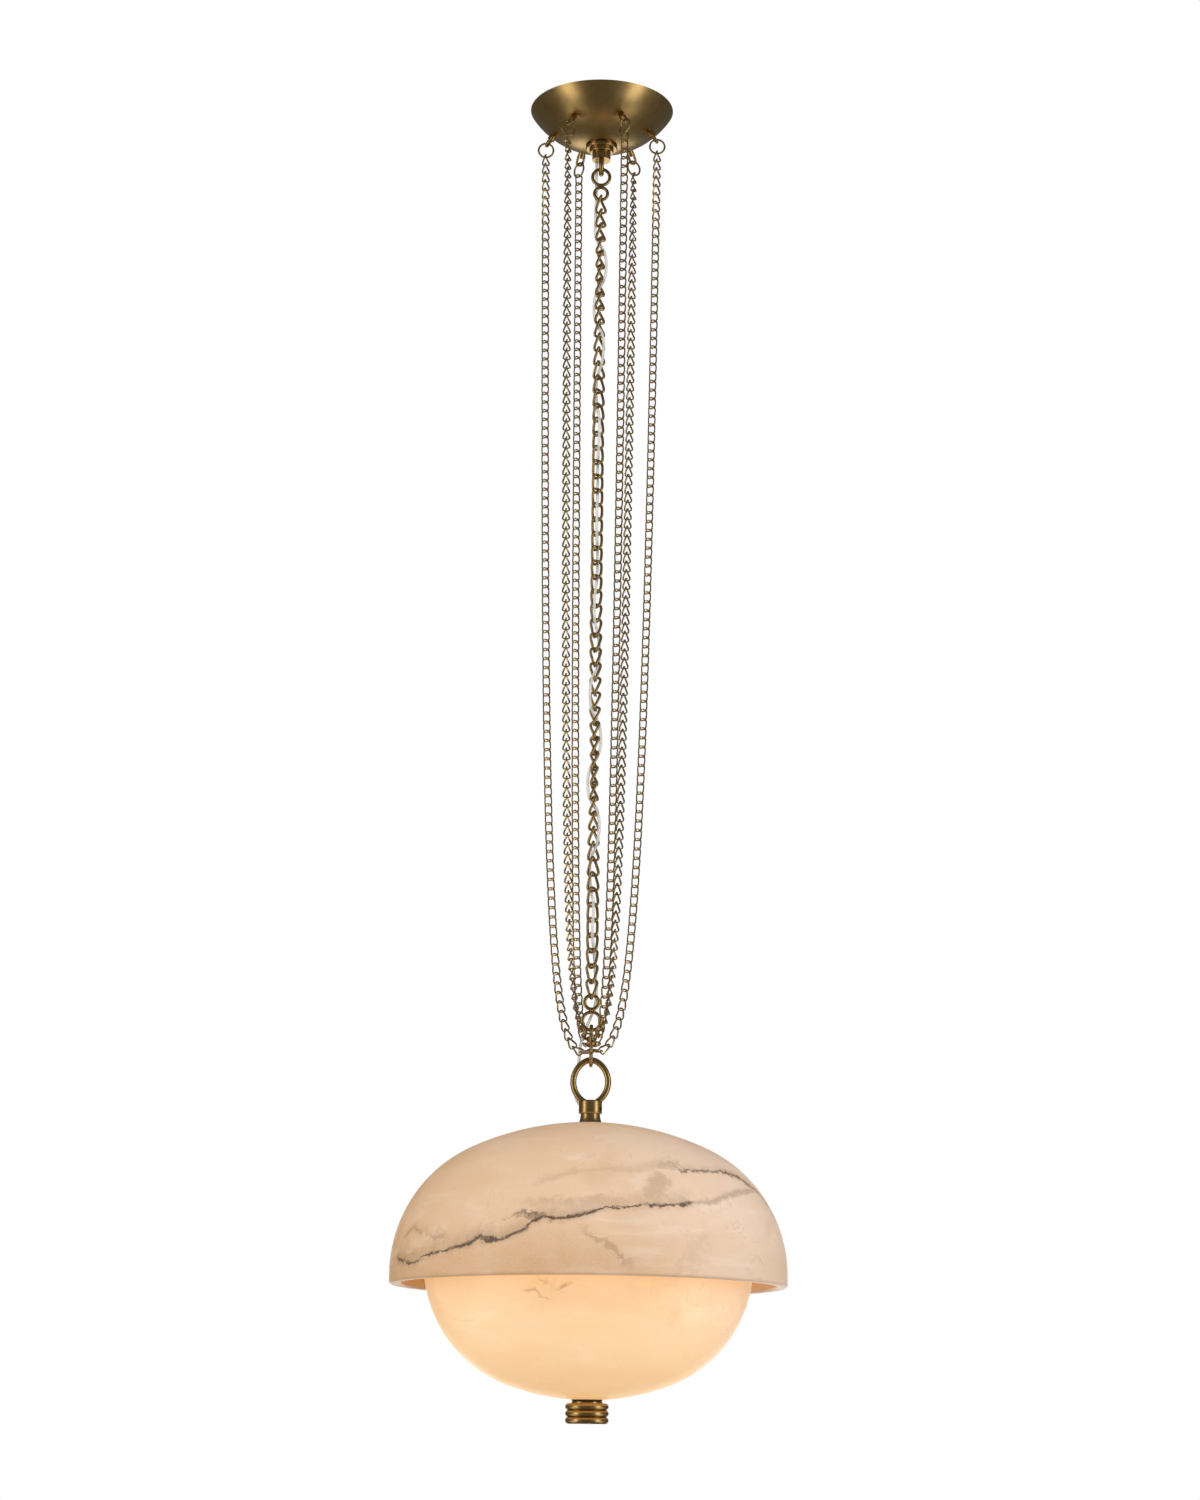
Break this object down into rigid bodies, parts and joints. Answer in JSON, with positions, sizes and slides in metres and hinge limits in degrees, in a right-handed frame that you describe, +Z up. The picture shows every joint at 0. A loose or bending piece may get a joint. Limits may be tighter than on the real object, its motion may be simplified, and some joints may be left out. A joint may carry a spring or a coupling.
{
  "type": "pendant light",
  "caption": "Pendant light with an alabaster dome over a smaller alabaster bowl, hung on a brass chain with slack dress chains from a round ceiling canopy.",
  "frame": {"origin": "centre of the crossbar's two slots on the ceiling face", "axes": "+Z up into the ceiling; -Y towards the viewer in the picture; +X to the viewer's right"},
  "size_m": [0.323, 0.323, 1.1436],
  "materials": {
    "antique_brass": "satin antique",
    "alabaster": "honed, warm lit from inside",
    "steel": "plated",
    "porcelain": "matte",
    "rubber": "matte",
    "clear_cable": "clear, champagne",
    "bulb_glass": "frosted, lit"
  },
  "bodies": {
    "canopy": {"ceiling_canopy": "antique_brass", "crossbar": "steel", "earth_screw": "steel", "threaded_nipple": "steel", "nipple_nut": "steel", "canopy_loop": "antique_brass", "eye_studs": "antique_brass", "eye_nuts": "steel", "hanging_rings": "antique_brass"},
    "collar_washer": {"slip_washer": "antique_brass"},
    "collar": {"screw_collar": "antique_brass"},
    "top_connector": {"upper_connector": "antique_brass"},
    "main_chain": {"main_chain": "antique_brass", "power_cable": "clear_cable", "lower_connector": "antique_brass", "dress_chain_1": "antique_brass", "dress_chain_2": "antique_brass", "dress_chain_3": "antique_brass", "dress_chain_4": "antique_brass", "dress_chain_5": "antique_brass", "dress_chain_6": "antique_brass"},
    "gather_link": {"gather_link": "antique_brass", "gather_rings": "antique_brass"},
    "lamp": {"lamp_loop": "antique_brass", "grub_screw": "steel", "neck_collar": "antique_brass", "stem": "steel", "dome_gasket": "rubber", "dome": "alabaster", "dome_pad": "rubber", "dome_washer": "steel", "dome_nut": "steel", "lamp_bracket": "steel", "bracket_nuts": "steel", "lampholder_1": "porcelain", "lampholder_2": "porcelain", "lampholder_3": "porcelain", "holder_screws": "steel", "bowl_stop_washer": "steel", "bowl_stop_nut": "steel"},
    "bulb_1": {"bulb_base_1": "porcelain", "bulb_glass_1": "bulb_glass"},
    "bulb_2": {"bulb_base_2": "porcelain", "bulb_glass_2": "bulb_glass"},
    "bulb_3": {"bulb_base_3": "porcelain", "bulb_glass_3": "bulb_glass"},
    "bowl": {"bowl": "alabaster", "bowl_pad": "rubber"},
    "finial_washer": {"finial_washer": "antique_brass"},
    "finial": {"finial": "antique_brass"}
  },
  "joints": [
    {"name": "connector_swing", "type": "hinge", "parent": "canopy", "child": "top_connector", "pos_m": [0, 0, -0.05954], "axis": [0, 1, 0], "range_deg": [-9, 9], "deforming": ["dress_chain_1", "dress_chain_2", "dress_chain_3", "dress_chain_4", "dress_chain_5", "dress_chain_6", "power_cable"]},
    {"name": "chain_swing", "type": "hinge", "parent": "top_connector", "child": "main_chain", "pos_m": [0, 0, -0.08474], "axis": [1, 0, 0], "range_deg": [-9, 9], "deforming": ["dress_chain_1", "dress_chain_2", "dress_chain_3", "dress_chain_4", "dress_chain_5", "dress_chain_6", "power_cable"]},
    {"name": "gather_swing", "type": "hinge", "parent": "main_chain", "child": "gather_link", "pos_m": [0, 0, -0.82584], "axis": [1, 0, 0], "range_deg": [-15, 15], "deforming": ["dress_chain_1", "dress_chain_2", "dress_chain_3", "dress_chain_4", "dress_chain_5", "dress_chain_6", "power_cable"]},
    {"name": "lamp_swing", "type": "hinge", "parent": "gather_link", "child": "lamp", "pos_m": [0, 0, -0.85514], "axis": [0, 1, 0], "range_deg": [-15, 15], "deforming": ["dress_chain_1", "dress_chain_2", "dress_chain_3", "dress_chain_4", "dress_chain_5", "dress_chain_6", "power_cable"]},
    {"name": "collar_drop", "type": "slide", "parent": "canopy", "child": "collar_washer", "axis": [0, 0, -1], "range_m": [0, 0.005]},
    {"name": "collar_turn", "type": "hinge", "parent": "collar_washer", "child": "collar", "pos_m": [0, 0, -0.0368], "axis": [0, 0, -1], "range_deg": [0, 1810]},
    {"name": "bowl_drop", "type": "slide", "parent": "lamp", "child": "bowl", "axis": [0, 0, -1], "range_m": [0, 0.13]},
    {"name": "finial_drop", "type": "slide", "parent": "bowl", "child": "finial_washer", "axis": [0, 0, -1], "range_m": [0, 0.006]},
    {"name": "finial_turn", "type": "hinge", "parent": "finial_washer", "child": "finial", "pos_m": [0, 0, -1.1355], "axis": [0, 0, -1], "range_deg": [0, 2170]},
    {"name": "bulb_1_pull", "type": "slide", "parent": "lamp", "child": "bulb_1", "axis": [0, 0, -1], "range_m": [0, 0.016]},
    {"name": "bulb_2_pull", "type": "slide", "parent": "lamp", "child": "bulb_2", "axis": [0, 0, -1], "range_m": [0, 0.016]},
    {"name": "bulb_3_pull", "type": "slide", "parent": "lamp", "child": "bulb_3", "axis": [0, 0, -1], "range_m": [0, 0.016]}
  ],
  "couplings": [
    {"joint": "collar_turn", "follows": "collar_drop", "rad_per_m": 6283.2},
    {"joint": "finial_turn", "follows": "finial_drop", "rad_per_m": 6283.2}
  ]
}
